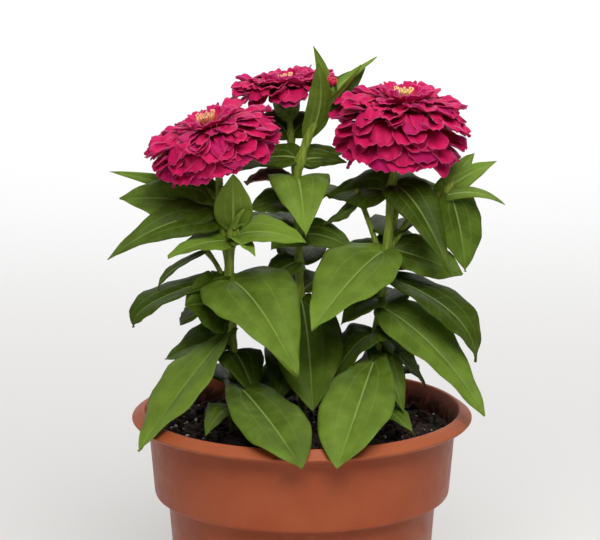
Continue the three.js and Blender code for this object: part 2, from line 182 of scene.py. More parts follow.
def sheet_faces(rows, columns):
    """A thin closed sheet: an upper grid, a lower grid and the wall round their edge."""
    size = rows * columns
    grid = np.arange(size).reshape(rows, columns)
    upper = grid_faces(rows, columns)
    rim = np.concatenate([grid[0, :-1], grid[:-1, -1], grid[-1, :0:-1], grid[:0:-1, 0]])
    following = np.roll(rim, -1)
    wall = np.stack([following, rim, rim + size, following + size], -1)
    return np.concatenate([upper, upper[:, ::-1] + size, wall])


def turned(profile, sides):
    """Points and faces of a profile of [radius, height] pairs turned about the Z axis."""
    profile = np.array(profile, float)
    angle = np.linspace(0, math.tau, sides, endpoint=False)
    radius = profile[:, :1]
    x = radius * np.cos(angle)
    y = radius * np.sin(angle)
    z = np.broadcast_to(profile[:, 1:], x.shape)
    return np.stack([x, y, z], -1), grid_faces(len(profile), sides, closed=True)


def rounded(profile, radius, steps=5):
    """A profile with each corner eased by a short curve."""
    points = np.array(profile, float)
    eased = [points[0]]
    for before, corner, after in zip(points, points[1:], points[2:]):
        back = before - corner
        onward = after - corner
        reach = min(radius, 0.42 * np.linalg.norm(back), 0.42 * np.linalg.norm(onward))
        start = corner + reach * unit(back)
        end = corner + reach * unit(onward)
        for t in np.linspace(0, 1, steps):
            eased.append((1 - t) ** 2 * start + 2 * t * (1 - t) * corner + t**2 * end)
    eased.append(points[-1])
    return eased


def shares(rows, columns):
    """Grids of the share along a sheet, from 0 to 1, and across it, from -1 to 1."""
    return np.linspace(0, 1, rows)[:, None], np.linspace(-1, 1, columns)[None, :]


def bezier(base, knee, tip, u):
    """Points and unit tangents of a quadratic curve at u."""
    u = np.asarray(u, float)[..., None]
    place = (1 - u) ** 2 * base + 2 * u * (1 - u) * knee + u**2 * tip
    tangent = 2 * (1 - u) * (knee - base) + 2 * u * (tip - knee)
    return place, unit(tangent)


def facing_place(origin, facing):
    """A place: an origin, and the rotation that takes +Z to a direction the shortest way."""
    turn = Vector(UP).rotation_difference(Vector(facing).normalized())
    return np.array(turn.to_matrix()), np.array(origin, float)


def put(points, place):
    """Points about the origin, moved to a place."""
    turn, origin = place
    return np.reshape(points, (-1, 3)) @ turn.T + origin


# Materials
def rgb(red, green, blue):
    """A screen colour of 0 to 255 as the linear colour that shaders take."""
    parts = [v / 255 for v in (red, green, blue)]
    return [v / 12.92 if v <= 0.04045 else ((v + 0.055) / 1.055) ** 2.4 for v in parts] + [1.0]


class Paint:
    """A material of one Principled shader, with short names for the nodes that feed it."""

    def __init__(self, name, **constants):
        self.material = bpy.data.materials.new(name)
        self.material.use_nodes = True
        self.nodes = self.material.node_tree.nodes
        self.links = self.material.node_tree.links
        self.shader = self.nodes["Principled BSDF"]
        for socket, value in constants.items():
            self.shader.inputs[socket.replace("_", " ")].default_value = value
        self.coordinates = self.node("TexCoord").outputs["Object"]

    def node(self, kind, **numbers):
        node = self.nodes.new("ShaderNode" + kind)
        for socket, number in numbers.items():
            node.inputs[socket].default_value = number
        return node

    def feed(self, socket, value):
        if isinstance(value, bpy.types.NodeSocket):
            self.links.new(value, socket)
        else:
            socket.default_value = value

    def value(self, name):
        """A value of the piece's points."""
        node = self.node("Attribute")
        node.attribute_name = name
        return node.outputs["Fac"]

    def math(self, operation, *values):
        node = self.node("Math")
        node.operation = operation
        for socket, value in zip(node.inputs, values):
            self.feed(socket, value)
        return node.outputs[0]

    def times(self, first, second):
        return self.math("MULTIPLY", first, second)

    def plus(self, first, second):
        return self.math("ADD", first, second)

    def ramp(self, value, low, high, start=0.0, end=1.0):
        """A smooth turn from start at low to end at high."""
        node = self.node("MapRange")
        node.interpolation_type = "SMOOTHSTEP"
        for socket, number in zip(node.inputs, (value, low, high, start, end)):
            self.feed(socket, number)
        return node.outputs["Result"]

    def blend(self, factor, first, second):
        """A mix of two colours, which are inputs 6 and 7 and output 2 of the node."""
        node = self.node("Mix")
        node.data_type = "RGBA"
        self.feed(node.inputs[0], factor)
        self.feed(node.inputs[6], first)
        self.feed(node.inputs[7], second)
        return node.outputs[2]

    def noise(self, size, detail=3.0, stretch=None):
        """Noise with lumps of a size in millimetres."""
        node = self.node("TexNoise", Scale=1 / (size * MM), Detail=detail)
        coordinates = self.coordinates
        if stretch:
            mapping = self.node("Mapping", Scale=stretch)
            self.links.new(coordinates, mapping.inputs["Vector"])
            coordinates = mapping.outputs["Vector"]
        self.links.new(coordinates, node.inputs["Vector"])
        return node.outputs["Fac"]

    def cells(self, size):
        """Rounded cells of a size in millimetres."""
        node = self.node("TexVoronoi", Scale=1 / (size * MM))
        self.links.new(self.coordinates, node.inputs["Vector"])
        return node.outputs["Distance"]

    def colour(self, value):
        self.feed(self.shader.inputs["Base Color"], value)

    def roughness(self, value):
        self.feed(self.shader.inputs["Roughness"], value)

    def relief(self, height, depth, strength=1.0):
        """Bump of a depth in millimetres."""
        node = self.node("Bump", Strength=strength, Distance=depth * MM)
        self.links.new(height, node.inputs["Height"])
        self.links.new(node.outputs["Normal"], self.shader.inputs["Normal"])


def leaf_paint():
    """Green blade, paler beneath, with painted shade from its tone, a light midrib, two side veins and
    faint cross veins.
    """
    paint = Paint("leaf", Subsurface_Weight=0.12, Subsurface_Scale=0.002,
                  Subsurface_Radius=(0.5, 1.0, 0.2), Specular_IOR_Level=0.09)
    patches = paint.ramp(paint.noise(12, 5), 0.25, 0.75, 0.38, 0.62)
    # Tone adds painted shade: leaves in shade, and each blade near its stalk, get a darker green
    mottle = paint.plus(patches, paint.times(paint.value("tone"), 0.44))
    green = paint.blend(paint.ramp(mottle, 0, 1), rgb(46, 61, 3), rgb(106, 131, 43))
    beneath = paint.blend(paint.ramp(mottle, 0, 1), rgb(60, 76, 8), rgb(118, 138, 52))
    green = paint.blend(paint.value("under"), green, beneath)
    from_middle = paint.math("ABSOLUTE", paint.value("middle"))
    midrib = paint.ramp(from_middle, 0.25, 0.75, 1, 0)
    from_vein = paint.math("ABSOLUTE", paint.value("vein"))
    vein = paint.times(paint.ramp(from_vein, 0.15, 0.6, 1, 0), 0.12)
    cross = paint.math("PINGPONG", paint.value("rib"), 0.5)
    rib = paint.times(paint.ramp(cross, 0.0, 0.06, 1, 0), 0.09)
    lines = paint.math("MAXIMUM", paint.times(midrib, 0.45), paint.math("MAXIMUM", vein, rib))
    lines = paint.times(lines, paint.value("vigour"))
    paint.colour(paint.blend(lines, green, rgb(158, 182, 104)))
    paint.roughness(paint.ramp(paint.noise(3), 0.3, 0.7, 0.42, 0.56))
    height = paint.plus(paint.noise(0.9, 2), paint.times(paint.noise(4.5), 3.0))
    paint.relief(height, 0.2, 0.8)
    return paint.material


def stem_paint():
    """Light green stem with lengthwise streaks."""
    paint = Paint("stem", Subsurface_Weight=0.1, Subsurface_Scale=0.002, Roughness=0.5,
                  Specular_IOR_Level=0.2)
    streaks = paint.noise(1.2, 3, stretch=(1, 1, 0.12))
    paint.colour(paint.blend(paint.ramp(streaks, 0.3, 0.7), rgb(90, 107, 24), rgb(124, 141, 53)))
    paint.relief(streaks, 0.15, 0.6)
    return paint.material


def bract_paint():
    """Green scales in a darker green that paints the shade round the cups, with a dark thin edge."""
    paint = Paint("bract", Subsurface_Weight=0.08, Subsurface_Scale=0.002, Roughness=0.55,
                  Specular_IOR_Level=0.2)
    # Painted shade: the green is darker than the scales' own, for the shade they lie in
    green = paint.blend(paint.ramp(paint.noise(3), 0.3, 0.7), rgb(62, 82, 20), rgb(100, 122, 44))
    rim = paint.ramp(paint.value("edge"), 0.3, 0.9, 0.85, 0.0)
    paint.colour(paint.blend(rim, green, rgb(38, 34, 22)))
    paint.relief(paint.noise(1, 3), 0.12, 0.6)
    return paint.material


def petal_paint(name, deep, bright, rim):
    """Velvety petal: deeper at its root, with fine lengthwise streaks and a thin pale rim, a painted
    highlight on the curled edges.
    """
    paint = Paint(name, Subsurface_Weight=0.2, Subsurface_Scale=0.003,
                  Subsurface_Radius=(1.0, 0.25, 0.5), Specular_IOR_Level=0.1)
    along = paint.value("along")
    streak = paint.math("SINE", paint.times(paint.value("across"), 34.0))
    tone = paint.plus(along, paint.times(streak, 0.05))
    tone = paint.plus(tone, paint.times(paint.value("tone"), 0.3))
    tone = paint.plus(tone, paint.times(paint.noise(4), 0.3))
    body = paint.blend(paint.ramp(tone, 0.1, 1.2), deep, bright)
    violet = paint.ramp(paint.value("tone"), -0.4, -1.0, 0.0, 0.4)
    body = paint.blend(violet, body, rgb(146, 14, 96))
    heart = paint.times(paint.value("heart"), paint.ramp(along, 0.1, 0.75, 1, 0))
    body = paint.blend(heart, body, rgb(222, 108, 76))
    beneath = paint.times(paint.value("under"), 0.5)
    body = paint.blend(beneath, body, rgb(172, 56, 100))
    # Painted highlight: a thin pale rim where the curled petal edges catch the light
    edge = paint.ramp(paint.value("edge"), 0.05, 0.35, 0.42, 0.0)
    paint.colour(paint.blend(edge, body, rim))
    paint.roughness(paint.ramp(paint.noise(2), 0.3, 0.7, 0.5, 0.66))
    height = paint.plus(paint.times(streak, 0.35), paint.noise(0.7, 2))
    paint.relief(height, 0.1, 0.6)
    return paint.material


def floret_paint():
    """Disc florets: orange below, and cream to salmon at the mouth."""
    paint = Paint("floret", Subsurface_Weight=0.12, Subsurface_Scale=0.001, Roughness=0.65)
    tone = paint.plus(paint.value("along"), paint.times(paint.noise(1), 0.4))
    mouth = paint.blend(paint.value("warmth"), rgb(236, 208, 134), rgb(238, 176, 136))
    tube = paint.blend(paint.ramp(tone, 0.2, 1.1), rgb(188, 96, 60), mouth)
    dark = paint.times(paint.value("closed"), 0.6)
    paint.colour(paint.blend(dark, tube, rgb(150, 100, 56)))
    paint.relief(paint.noise(0.5, 2), 0.08, 0.7)
    return paint.material


def dry_leaf_paint():
    """Withered leaf: brown-maroon with pale dry edges."""
    paint = Paint("dry_leaf", Roughness=0.85)
    brown = paint.blend(paint.ramp(paint.noise(5, 5), 0.3, 0.7), rgb(48, 22, 18), rgb(92, 52, 40))
    edge = paint.ramp(paint.value("edge"), 0.2, 1.6, 0.8, 0.0)
    paint.colour(paint.blend(edge, brown, rgb(150, 126, 98)))
    paint.relief(paint.noise(1.5, 5), 0.4, 0.9)
    return paint.material


def pot_paint():
    """Satin terracotta-coloured plastic, faintly mottled and scuffed, darker inside from soil dirt and
    painted shade.
    """
    paint = Paint("pot_plastic", Specular_IOR_Level=0.18)
    mottle = paint.plus(paint.noise(30, 5), paint.times(paint.noise(3, 4), 0.25))
    clay = paint.blend(paint.ramp(mottle, 0.35, 0.95), rgb(143, 66, 35), rgb(154, 78, 46))
    specks = paint.ramp(paint.noise(0.8, 2), 0.68, 0.78)
    clay = paint.blend(paint.times(specks, 0.18), clay, rgb(206, 160, 136))
    # Painted highlight: a lighter colour on the top of the rim
    clay = paint.blend(paint.times(paint.value("lip"), 0.6), clay, rgb(150, 80, 48))
    # Inside the wall: soil dirt and painted shade, a patchy near-black darkening
    dust_and_shade = paint.times(paint.value("inside"), paint.ramp(paint.noise(6, 5), 0.15, 0.6))
    clay = paint.blend(paint.times(dust_and_shade, 0.85), clay, rgb(34, 23, 17))
    paint.colour(clay)
    satin = paint.ramp(paint.noise(9, 5), 0.3, 0.75, 0.36, 0.5)
    paint.roughness(paint.math("MAXIMUM", satin, dust_and_shade))
    grain = paint.plus(paint.noise(0.7, 2), paint.times(paint.noise(5, 3), 1.2))
    paint.relief(grain, 0.05, 0.5)
    return paint.material


def soil_paint():
    """Moist potting mix, near black, with lighter fibres."""
    paint = Paint("potting_soil", Specular_IOR_Level=0.25, Roughness=0.95)
    dark = paint.blend(paint.ramp(paint.noise(2.5, 6), 0.35, 0.7), rgb(26, 19, 15), rgb(66, 48, 36))
    fibres = paint.ramp(paint.noise(2, 4, stretch=(0.25, 1, 1)), 0.66, 0.74)
    paint.colour(paint.blend(paint.times(fibres, 0.5), dark, rgb(116, 90, 62)))
    paint.relief(paint.noise(1.2, 6), 0.9, 0.9)
    return paint.material


def perlite_paint():
    """Pale porous grains."""
    paint = Paint("perlite", Roughness=0.9)
    mottle = paint.ramp(paint.noise(2, 4), 0.3, 0.7)
    paint.colour(paint.blend(mottle, rgb(168, 162, 154), rgb(222, 220, 214)))
    paint.relief(paint.cells(0.8), 0.35, 0.8)
    return paint.material


def floor_paint():
    """Seamless white paper, with painted shade that makes it greyer near the pot and brighter away
    from it.
    """
    paint = Paint("studio_floor", Roughness=0.9, Specular_IOR_Level=0.1)
    reach = paint.node("VectorMath")
    reach.operation = "LENGTH"
    paint.links.new(paint.coordinates, reach.inputs[0])
    # Painted shade: grey near the pot, fading to white farther out
    away = paint.ramp(reach.outputs["Value"], 0.25, 1.6)
    paint.colour(paint.blend(away, rgb(209, 207, 205), rgb(246, 246, 246)))
    return paint.material


LEAF = leaf_paint()
STEM = stem_paint()
BRACT = bract_paint()
# The last colour of each petal paint is the painted highlight on its rim
PETAL = petal_paint("petal", rgb(150, 6, 50), rgb(184, 20, 78), rgb(212, 92, 136))
BUD_PETAL = petal_paint("bud_petal", rgb(116, 8, 34), rgb(186, 26, 66), rgb(216, 108, 96))
FLORET = floret_paint()
DRY_LEAF = dry_leaf_paint()
POT_PLASTIC = pot_paint()
POTTING_SOIL = soil_paint()
PERLITE = perlite_paint()


# Pot: a flared lower wall, a ledge, an upright band, a wide rolled rim and drain holes
def make_pot():
    """The turned wall, with how far each point is inside it and on its lip, where a painted highlight
    goes.
    """
    outside = [
        [0, 0], [34, 0], [36, 3], [56, 3], [58, 0], [66, 0], [67.2, 1.5],
        [LEDGE_RADIUS, LEDGE_HEIGHT - 1], [BAND_RADIUS - 0.5, LEDGE_HEIGHT],
        [BAND_RADIUS, LEDGE_HEIGHT + 2], [BAND_TOP_RADIUS, 139], [BAND_TOP_RADIUS + 0.5, 142.4],
        [RIM_RADIUS - 1.6, 143.6], [RIM_RADIUS, 145.4],
        [88.5, POT_HEIGHT], [87.3, 149.3],
    ]
    inside = [
        [BAND_TOP_RADIUS - POT_WALL, 140], [BAND_RADIUS - POT_WALL, LEDGE_HEIGHT + 2],
        [LEDGE_RADIUS - POT_WALL, LEDGE_HEIGHT + 1], [FLOOR_RADIUS - POT_WALL, POT_FLOOR],
        [0, POT_FLOOR],
    ]
    profile = rounded(outside + inside, 2.2)
    points, faces = turned(profile, ROUND_SIDES)
    shape = Shape("inside", "lip")
    radius = np.hypot(points[..., 0], points[..., 1]).ravel()
    height = points[..., 2].ravel()
    below_rim = smooth((148 - height) / 6)
    # The radius half way through the wall at a height: what lies within it is inside
    levels = [0, LEDGE_HEIGHT + 1, LEDGE_HEIGHT + 2, 140, POT_HEIGHT]
    mid_wall = np.interp(height, levels, [66.3, LEDGE_RADIUS - 1, BAND_RADIUS - 1, 84.4, 88])
    # The lip: where the pot paint puts a painted highlight on the rolled rim
    lip = smooth((height - 143.5) / 2) * smooth((radius - 87) / 3)
    shape.add(points, faces, inside=np.where(radius < mid_wall, below_rim, 0.0), lip=lip)
    pot = shape.make("nursery_pot", POT_PLASTIC, "pot_plastic", "pot", weld=True)
    cut_drain_holes(pot)


def cut_drain_holes(pot):
    """A ring of round holes through the floor of the pot."""
    holes = 6
    hole_radius = 4
    hole_circle = 46
    low = -POT_FLOOR
    high = 2 * POT_FLOOR
    points, faces = turned([[0, low], [hole_radius, low], [hole_radius, high], [0, high]], 24)
    shape = Shape()
    for k in range(holes):
        angle = (k + 0.5) * math.tau / holes
        shape.add(points + hole_circle * vector(math.cos(angle), math.sin(angle), 0), faces)
    cutter = add_object("drain_holes", shape.mesh("drain_holes", weld=True, smooth_faces=False))
    cut = pot.modifiers.new("drain", "BOOLEAN")
    cut.operation = "DIFFERENCE"
    cut.solver = "EXACT"
    cut.object = cutter
    bpy.context.view_layer.update()
    ready = pot.evaluated_get(bpy.context.evaluated_depsgraph_get())
    drilled = bpy.data.meshes.new_from_object(ready)
    pot.modifiers.clear()
    pot.data = drilled
    bpy.data.objects.remove(cutter)


# Soil: fills the pot to under the rim, with crumbs and perlite on top
def soil_height(x, y):
    """The height of the uneven top of the soil."""
    waves = 1.3 * math.sin(0.21 * x + 1) * math.cos(0.17 * y) + 0.8 * math.sin(0.43 * (x + y))
    place = Vector((x, y, 0))
    lumps = 1.6 * noise.noise(place * 0.11) + 1.1 * noise.noise(place * 0.31)
    return SOIL_HEIGHT + waves + lumps


def make_soil():
    wall = POT_WALL + GAP
    top_rings = 56
    profile = [
        [0, POT_FLOOR + GAP], [FLOOR_RADIUS - wall, POT_FLOOR + GAP],
        [LEDGE_RADIUS - wall, LEDGE_HEIGHT + 1 + GAP], [BAND_RADIUS - wall, LEDGE_HEIGHT + 2 + GAP],
        [BAND_TOP_RADIUS - 0.3 - wall, SOIL_HEIGHT - 2.5],
    ] + [[radius, SOIL_HEIGHT] for radius in np.linspace(SOIL_RADIUS, 0, top_rings)]
    points, faces = turned(profile, ROUND_SIDES)
    for point in points.reshape(-1, 3):
        if point[2] > SOIL_HEIGHT - 1:
            x, y = point[:2]
            point[2] = soil_height(x, y) + 0.7 * noise.noise(Vector((x, y, 5)) * 0.8)
    soil = Shape()
    soil.add(points, faces)
    soil.make("soil_bed", POTTING_SOIL, "potting_soil", "soil", weld=True)
    add_grains("soil_crumbs", POTTING_SOIL, count=1300, size=(0.8, 3.0), seed=11)
    add_grains("perlite", PERLITE, count=150, size=(0.7, 1.9), seed=23)


def add_grains(name, material, count, size, seed):
    """Small rough lumps strewn over the soil."""
    ball = bmesh.new()
    bmesh.ops.create_icosphere(ball, subdivisions=1, radius=1.0)
    round_points = np.array([v.co for v in ball.verts])
    faces = [[v.index for v in face.verts] for face in ball.faces]
    ball.free()
    draw = np.random.default_rng(seed)
    grains = Shape()
    for _ in range(count):
        reach = (SOIL_RADIUS - 1) * math.sqrt(draw.random())
        angle = math.tau * draw.random()
        scale = mix(size, draw.random() ** 2.2)
        reach = min(reach, SOIL_RADIUS - scale)
        x = reach * math.cos(angle)
        y = reach * math.sin(angle)
        rough = 1 + 0.28 * draw.uniform(-1, 1, (len(round_points), 1))
        place = facing_place([x, y, soil_height(x, y) + 0.35 * scale], draw.normal(size=3))
        points = round_points * rough * scale * draw.uniform(0.6, 1.1, 3)
        grains.add(put(points, place), faces)
    grains.make(name, material, "potting_soil", "soil")


# Stems: smooth curves through these points, with the stem's radius
STEMS = {
    "left_main": (2.3, [[-38, -8, 112], [-38, -8, 140], [-38, -10, 175], [-40, -10, 229],
                        [-44, -10, 262], [-45.5, -10.5, 290]]),
    "left_shoot": (2.1, [[-39, -10, 216], [-39, -12, 236], [-37, -14, 254]]),
    "left_side": (1.4, [[-41, -9, 220], [-47, -6, 232], [-55, -2, 242]]),
    "middle_main": (2.3, [[0, 26, 112], [0, 26, 140], [-1, 24, 200], [-2, 17, 244], [-3, 12, 276],
                          [4, 9, 302], [13.5, 8, 324]]),
    "middle_back": (1.9, [[-2, 18, 240], [-4, 28, 276], [-6, 33, 294], [-7, 35, 310.5]]),
    "right_main": (2.4, [[40, -8, 112], [40, -8, 140], [41, -5, 179], [43, -5, 209], [47, -5, 244],
                         [48.5, -4, 270], [51.3, -1.7, 289]]),
    "right_second": (1.7, [[47, -5, 236], [50, -1, 250], [53, 3, 266], [57, 8, 278]]),
    "right_left": (1.6, [[45, -4, 228], [39, 1, 248], [30, 6, 272]]),
    "right_far": (1.6, [[48, -4, 240], [62, 0, 260], [77, 2, 270], [84, 3, 277]]),
}
CURVE_STEPS = 120


def stem_line(name):
    """A Catmull-Rom curve through the stem's points."""
    points = np.array(STEMS[name][1], float)
    ends = np.concatenate([[2 * points[0] - points[1]], points, [2 * points[-1] - points[-2]]])
    line = []
    for k in range(CURVE_STEPS + 1):
        place = k / CURVE_STEPS * (len(points) - 1)
        i = min(int(place), len(points) - 2)
        t = place - i
        before, start, end, after = ends[i:i + 4]
        leave = 0.5 * (end - before)
        arrive = 0.5 * (after - start)
        square = -3 * start + 3 * end - 2 * leave - arrive
        cube = 2 * start - 2 * end + leave + arrive
        line.append(start + leave * t + square * t**2 + cube * t**3)
    return np.array(line)


STEM_LINES = {name: stem_line(name) for name in STEMS}


def point_on_stem(name, height):
    """The point of a stem's middle line at a height."""
    line = STEM_LINES[name]
    above = int(np.argmax(line[:, 2] >= height))
    a = line[above - 1]
    b = line[above]
    return a + (b - a) * (height - a[2]) / (b[2] - a[2])


def add_stem(shape, name, nodes):
    """A ridged tube that swells a little at the heights where leaves leave it."""
    line = STEM_LINES[name][::2]
    along = unit(np.gradient(line, axis=0))
    across = unit(np.cross(along, vector(1, 0, 0.01)))
    other = np.cross(along, across)
    share = np.linspace(0, 1, len(line))
    radius = STEMS[name][0] * (1.04 - 0.12 * share)
    swelling = 0.55
    swelling_reach = 3.2
    for height in nodes:
        radius = radius + swelling * np.exp(-(((line[:, 2] - height) / swelling_reach) ** 2))
    angle = np.linspace(0, math.tau, STEM_SIDES, endpoint=False)
    ridge_count = 6
    ridges = 1 + 0.05 * np.cos(ridge_count * angle)
    reach = radius[:, None, None] * ridges[None, :, None]
    round_part = across[:, None] * np.cos(angle)[:, None] + other[:, None] * np.sin(angle)[:, None]
    points = line[:, None] + reach * round_part
    rows = len(line)
    faces = list(grid_faces(rows, STEM_SIDES, closed=True))
    faces.append(list(range(STEM_SIDES))[::-1])
    faces.append(list(range((rows - 1) * STEM_SIDES, rows * STEM_SIDES)))
    shape.add(points, faces)


# Leaves: the plant's stem, height on it, how light the green is, mostly painted shade (from -1 in
# leaves deep in shade to 1 in well-lit and young ones), tip, how far the midrib arches up, width, roll
# in degrees, and where needed how far along the leaf is broadest, how far along the midrib bends, and
# its sideways sway
LEFT_LEAVES = [
    ["main", 225, 0.0, [-2, -62, 183], 15, 52, -12],
    ["main", 227, -1, [-92, -22, 200], 16, 26, 12, 0.42, 1.05],
    ["main", 208, -0.9, [-63, -30, 214], 4, 36, 60, 0.45],
    ["main", 197, 0.2, [-88, -54, 139], 6, 38, -5, 0.58],
    ["main", 188, -0.7, [-76, 0, 177], 8, 30, 30, 0.5],
    ["main", 168, -0.35, [0, -101, 143], 17, 37, -6, 0.52, 0.75, 8],
    ["main", 152, -0.5, [-52, -50, 147], 8, 20, 0],
    ["main", 257, -0.6, [-105, -28, 239], 17, 25, 40],
    ["main", 264, -0.5, [-100, -2, 268], 5, 34, 50, 0.36],
    ["main", 268, 0.2, [-107, 22, 279], 4, 10, 60],
    ["main", 252, -0.5, [-84, 26, 298], -14, 18, 40],
    ["shoot", 246, 0.2, [-72, -36, 242], 6, 20, 20],
    ["side", 239, -0.6, [-79, -12, 219], 9, 10, 5, 0.3, 0.95],
    ["shoot", 252, 0.1, [-37, -28, 286], 0, 21, 0, 0.4],
    ["shoot", 249, 0.4, [2, -40, 251], 8, 25, -30],
    ["shoot", 248, 0.6, [-25, -38, 243], 6, 12, 0],
    ["shoot", 252, 0.7, [-31, -22, 266], 2, 7, 0],
    ["main", 200, -0.8, [-70, 48, 186], 16, 32, 0],
    ["main", 242, -0.7, [-68, 58, 236], 14, 28, 0],
    ["main", 166, -0.9, [-56, 66, 153], 16, 28, 0],
    ["main", 218, -0.8, [-32, 60, 208], 14, 28, 0],
    ["main", 184, -1, [-25, -30, 160], 10, 28, 0],
]
MIDDLE_LEAVES = [
    ["main", 277, 0.1, [2, -28, 252], 16, 34, 0],
    ["main", 288, -0.6, [-44, 30, 276], 9, 18, 40],
    ["main", 285, -0.5, [23, 28, 288], 6, 16, -45],
    ["main", 287, -0.5, [25, 22, 284], 4, 13, -50],
    ["back", 296, -1, [-27, 45, 306], 9, 26, 20],
    ["main", 264, -0.6, [-30, 6, 260], 4, 22, 35],
    ["main", 246, -0.5, [-17, 0, 239], 4, 20, 40],
    ["main", 229, -0.5, [-21, 4, 221], 2, 20, 25],
    ["main", 244, -0.6, [29, 3, 238], 7, 22, -35],
    ["main", 208, -0.7, [6, -42, 158], 12, 38, -8, 0.56, 0.4, -2],
    ["main", 188, -1, [-14, -34, 158], 10, 32, 0],
    ["main", 180, -0.9, [-20, 82, 176], 18, 34, 0],
    ["main", 210, -0.8, [38, 80, 198], 18, 34, 0],
    ["main", 242, -0.7, [-30, 78, 242], 16, 30, 0],
    ["main", 262, -0.8, [24, 66, 262], 8, 26, 0],
    ["main", 160, -0.9, [-37, 31, 146], 8, 27, 50],
    ["main", 226, -0.8, [4, 86, 222], 16, 28, 0],
    ["main", 299, -0.35, [8.5, -8, 344], 0, 15, 0, 0.4, 0.4, -9],
    ["main", 318, 0.2, [6, 12, 350.5], 8, 8, 60, 0.4, 0.1, 9],
    ["main", 307, -0.8, [35, 19, 337], 6, 14, -66, 0.5],
    ["main", 320, 0.2, [41, 14, 344], 3, 7, -40],
    ["main", 314, -0.3, [32, 2, 341], -6, 9, 30],
    ["back", 297, -1, [14, 46, 305], 9, 24, -20],
]
RIGHT_LEAVES = [
    ["main", 241, 0.15, [5, -55, 206], 9, 44, 10, 0.42],
    ["main", 241, -0.5, [88, -10, 227], 3, 28, -38, 0.5],
    ["main", 226, -0.9, [95, -24, 181], 30, 30, -15, 0.4, 1],
    ["main", 209, 0.05, [99, -40, 155], 17, 33, -20, 0.3, 0.6],
    ["main", 182, -0.05, [18, -101, 143], 18, 39, 0, 0.6, 0.6, -6],
    ["main", 186, -0.6, [56, -30, 153], 6, 20, 0],
    ["main", 152, -0.4, [60, -50, 148], 6, 18, 0],
    ["main", 192, -0.8, [70, 12, 158], 8, 22, -40],
    ["main", 198, -0.6, [62, -18, 182], 8, 16, -20],
    ["main", 214, -0.5, [21, -28, 203], 6, 20, 20],
    ["main", 276, -0.9, [80, -38, 233], 18, 26, -20],
    ["far", 273, -0.4, [90, -2, 227], 18, 28, -35, 0.4, 0.8],
    ["far", 266, 0.0, [111, -5, 265], 12, 7, -60, 0.3, 0.6],
    ["far", 268, 0.3, [107, 8, 287], 4, 14, -55],
    ["far", 273, 0.1, [96, 24, 289], 3, 12, -40],
    ["main", 272, -0.9, [14, 20, 265], 6, 28, 45],
    ["second", 272, -0.5, [84, 38, 266], 2, 24, -30],
    ["left", 266, -0.4, [12, 16, 250], -2, 15, 35],
    ["main", 228, -0.8, [20, 48, 232], 6, 24, 40],
    ["main", 232, -0.8, [72, 48, 234], 12, 26, -45],
    ["main", 209, -0.9, [60, 66, 196], 16, 34, 0],
    ["main", 180, -0.9, [84, 42, 162], 16, 32, 0],
    ["main", 164, -0.9, [68, 60, 154], 14, 28, 0],
    ["main", 248, -0.7, [60, 62, 240], 14, 26, 0],
    ["main", 194, -1, [10, -24, 161], 14, 36, 0],
]


def leaf_outline(u, belly):
    """Half width at u along the midrib: 1 at belly, where the leaf is broadest."""
    swell = 0.43
    place = u ** (math.log(LEAF_BELLY) / math.log(belly))
    return ((place + 0.01) / LEAF_BELLY) ** swell * (1 - place) / (1 - LEAF_BELLY)


def level_across(direction):
    """The level unit vector square to a direction."""
    return unit(vector(direction[1], -direction[0], 0))


def sheet_frame(level, base, knee, tip, roll, u):
    """Points of the middle line, and the side and normal directions of the sheet there."""
    centre, along = bezier(base, knee, tip, u)
    upright = unit(np.cross(level, along))
    side = level * math.cos(roll) + upright * math.sin(roll)
    return centre, side, unit(np.cross(side, along))


def add_leaf(shape, leaf):
    """One leaf of the tables, on an arched midrib."""
    stem, height, tone, tip, arch, width, roll, *rest = leaf
    belly, bend, sway = rest + [LEAF_BELLY, LEAF_BEND, 0][len(rest):]
    base = point_on_stem(stem, height)
    tip = np.array(tip, float)
    chord = tip - base
    knee = base + bend * chord + arch * UP + sway * level_across(chord)
    add_blade(shape, base, knee, tip, width, roll, belly, tone)


def add_blade(shape, base, knee, tip, width, roll, belly, tone):
    """A leaf blade: gull-wing halves, waved edges, sunken veins and a soft quilting between them."""
    rows, columns = BROAD_GRID if width >= BROAD_LEAF else NARROW_GRID
    u = 0.5 - 0.5 * np.cos(np.pi * np.linspace(0, 1, rows))
    v = np.linspace(-1, 1, columns)
    v = np.sign(v) * np.abs(v) ** 1.25
    level = level_across(tip - base)
    centre, side, normal = sheet_frame(level, base, knee, tip, math.radians(roll), u)
    half = np.maximum(0.5 * width * leaf_outline(u, belly), 0.12)
    length = np.linalg.norm(tip - base)
    u = u[:, None]
    half = half[:, None]
    x = half * v
    phase = tip[0] + 2 * tip[2]
    from_stalk = np.minimum(1, 4 * u)
    wing = half * (0.42 * np.abs(v) - 0.3 * v**2)
    wave = 0.04 * width * v**2 * np.sin(9 * u + 2 * v + phase) * from_stalk
    ripple = 0.02 * width * np.abs(v) ** 3 * np.sin(27 * u + 5 * v + 2 * phase) * from_stalk
    vein = np.abs(x) - 0.42 * smooth(u / 0.3) * half
    vigour = (1 - 0.7 * u) * smooth(half / 2.5)
    groove_width = 0.9
    groove = 0.55 * np.exp(-((x / groove_width) ** 2)) + 0.34 * np.exp(-((vein / groove_width) ** 2))
    groove = groove * vigour * width / BROAD_LEAF
    rib_spacing = 7.5
    rib = (u * length - 0.75 * np.abs(x)) / rib_spacing
    quilt = 0.016 * width * np.cos(math.tau * rib) * np.abs(v) * (1 - v**2) * smooth(u / 0.15)
    lift = wing + wave + ripple + quilt - groove
    top = centre[:, None] + side[:, None] * x[..., None] + normal[:, None] * lift[..., None]
    thick = 0.55 - 0.22 * v**2 + 0.8 * groove
    bottom = top - normal[:, None] * thick[..., None]
    # The tone rises along the blade: painted shade, darker near the stalk and lighter towards the tip
    shape.add_sheet(top, bottom, two_toned=True, middle=x, vein=vein, rib=rib,
                    tone=tone + 0.6 * (u - 0.45), vigour=smooth(1.15 - u))


